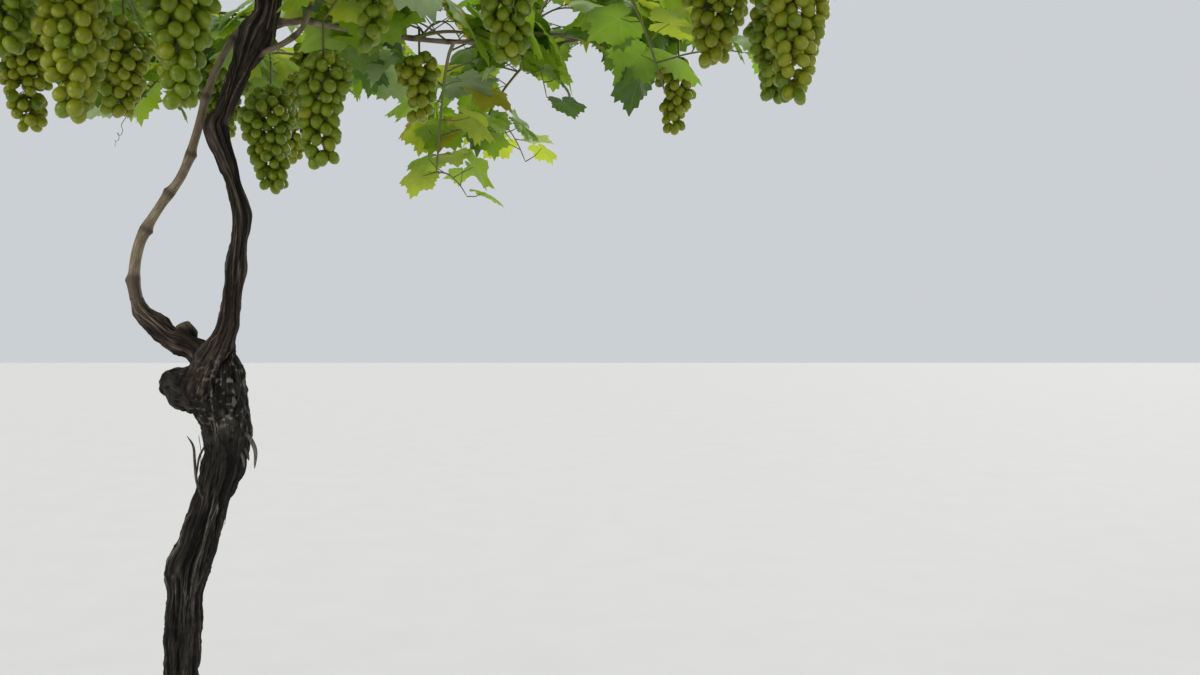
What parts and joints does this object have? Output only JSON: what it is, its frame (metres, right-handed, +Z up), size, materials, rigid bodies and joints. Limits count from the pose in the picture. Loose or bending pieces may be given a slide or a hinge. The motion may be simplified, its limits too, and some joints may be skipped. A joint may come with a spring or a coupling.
{
  "type": "grapevine",
  "caption": "Old table grapevine trained up to an overhead trellis: leaning trunk with a gnarled head, one climbing arm, spreading canes, and a flat crown of leaves and hanging grapes.",
  "frame": {"origin": "middle of the flat cut under the trunk, at ground level", "axes": "+Z up, +Y the way the picture looks, +X to the picture's right"},
  "size_m": [2.0826, 2.0512, 2.3128],
  "materials": {
    "old_bark": "deeply fissured, shaggy, matt",
    "arm_bark": "long fibrous strands, matt",
    "cane_bark": "smooth with fine lengthwise streaks, satin",
    "foliage": "leaf green, satin"
  },
  "bodies": {
    "root": {"trunk": "old_bark", "low_knob": "old_bark", "upper_stub": "arm_bark", "arm_lower": "arm_bark", "arm_upper": "arm_bark", "left_cane_lower": "cane_bark", "left_cane_upper": "cane_bark", "side_shoot": "cane_bark", "cane_back": "cane_bark", "cane_left": "cane_bark", "cane_front_left": "cane_bark", "cane_front": "cane_bark", "cane_right": "cane_bark", "foliage_back_right": "foliage", "foliage_back": "foliage", "foliage_left": "foliage", "foliage_front_left": "foliage", "foliage_front": "foliage", "foliage_right": "foliage", "foliage_middle": "foliage"}
  },
  "joints": []
}
